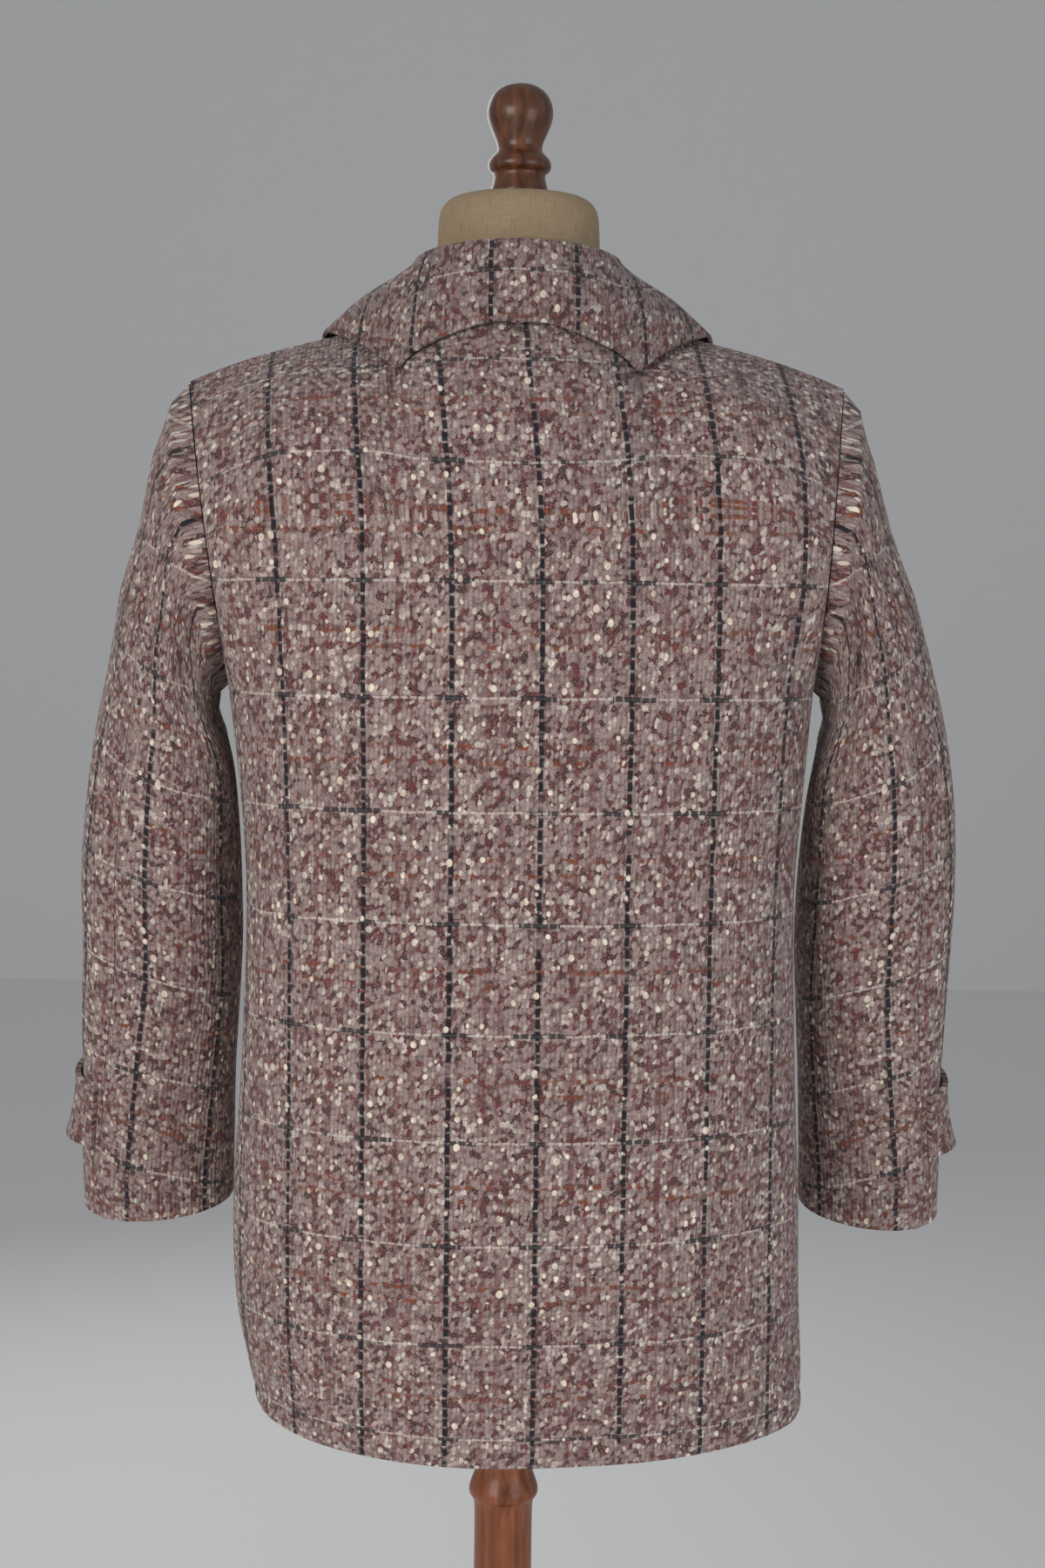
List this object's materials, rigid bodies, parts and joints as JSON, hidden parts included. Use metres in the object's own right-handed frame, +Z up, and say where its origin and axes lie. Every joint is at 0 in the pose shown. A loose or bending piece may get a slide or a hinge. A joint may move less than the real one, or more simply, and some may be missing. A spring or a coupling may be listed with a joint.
{
  "type": "car coat on a tailor's dress form",
  "caption": "Thigh-length car coat in chunky checked tweed with a turn-down collar, set-in sleeves and cuff tabs, worn by a limbless linen form on a turned wooden stand",
  "frame": {"origin": "middle of the underside of the stand's round base, on the floor", "axes": "+Z up along the pole; the coat's front faces -Y and its back +Y; +X is the wearer's left"},
  "size_m": [0.7059, 0.41, 1.655],
  "materials": {
    "tweed": "chunky slubbed tweed, windowpane check",
    "linen": "plain woven linen over a padded form",
    "wood": "turned and varnished hardwood",
    "buttons": "dark horn-like button"
  },
  "bodies": {
    "root": {"back": "tweed", "front_left": "tweed", "front_right": "tweed", "collar": "tweed", "sleeve_upper_left": "tweed", "sleeve_under_left": "tweed", "sleeve_upper_right": "tweed", "sleeve_under_right": "tweed", "cuff_tab_left": "tweed", "cuff_tab_right": "tweed", "front_button_1": "buttons", "front_button_2": "buttons", "front_button_3": "buttons", "front_button_4": "buttons", "form_torso": "linen", "finial": "wood", "pole": "wood", "base": "wood"}
  },
  "joints": []
}
